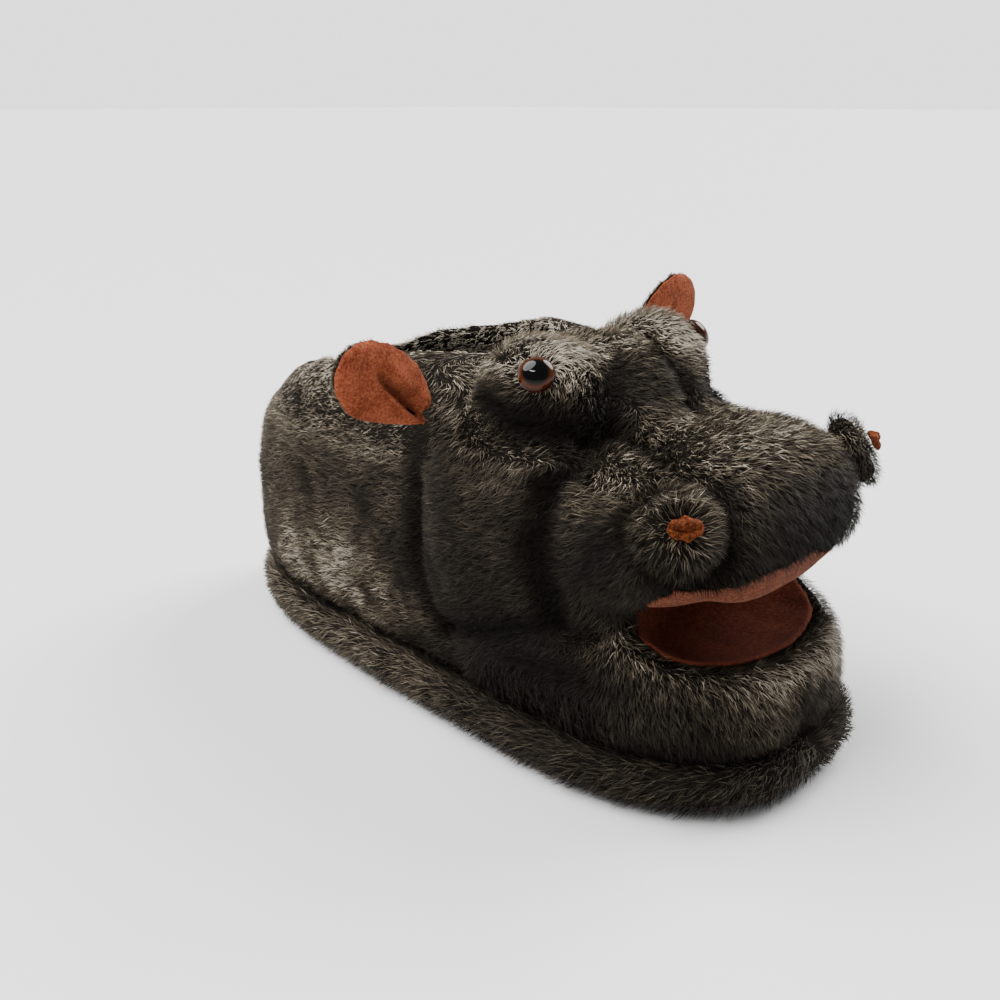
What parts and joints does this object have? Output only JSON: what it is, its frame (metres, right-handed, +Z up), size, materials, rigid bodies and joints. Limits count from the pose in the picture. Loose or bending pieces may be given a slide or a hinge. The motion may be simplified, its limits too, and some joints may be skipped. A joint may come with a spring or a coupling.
{
  "type": "animal slipper",
  "caption": "Plush slipper shaped as a hippopotamus head, with an open felt lined mouth, velvet ears and a fur covered foam sole.",
  "frame": {"origin": "centre of the bounding box on the floor under the sole", "axes": "+Z up, -Y to the toe and the muzzle, +X to the animal's left"},
  "size_m": [0.2064, 0.311, 0.1621],
  "materials": {
    "plush": "short dark brown pile with olive grey tips",
    "fleece": "dark brown short pile",
    "grip_cloth": "dark cloth with rubber grip dots",
    "felt": "dark red brown felt",
    "velvet": "rust orange velvet",
    "eye_plastic": "glossy black dome in a brown rim"
  },
  "bodies": {
    "root": {"outsole": "grip_cloth", "sole_band": "plush", "insole": "fleece", "upper": "plush", "mouth_lining": "felt", "palate_lining": "velvet", "ear_back_left": "plush", "ear_back_right": "plush", "ear_lining_left": "velvet", "ear_lining_right": "velvet", "eye_left": "eye_plastic", "eye_right": "eye_plastic", "nostril_left": "velvet", "nostril_right": "velvet"}
  },
  "joints": []
}
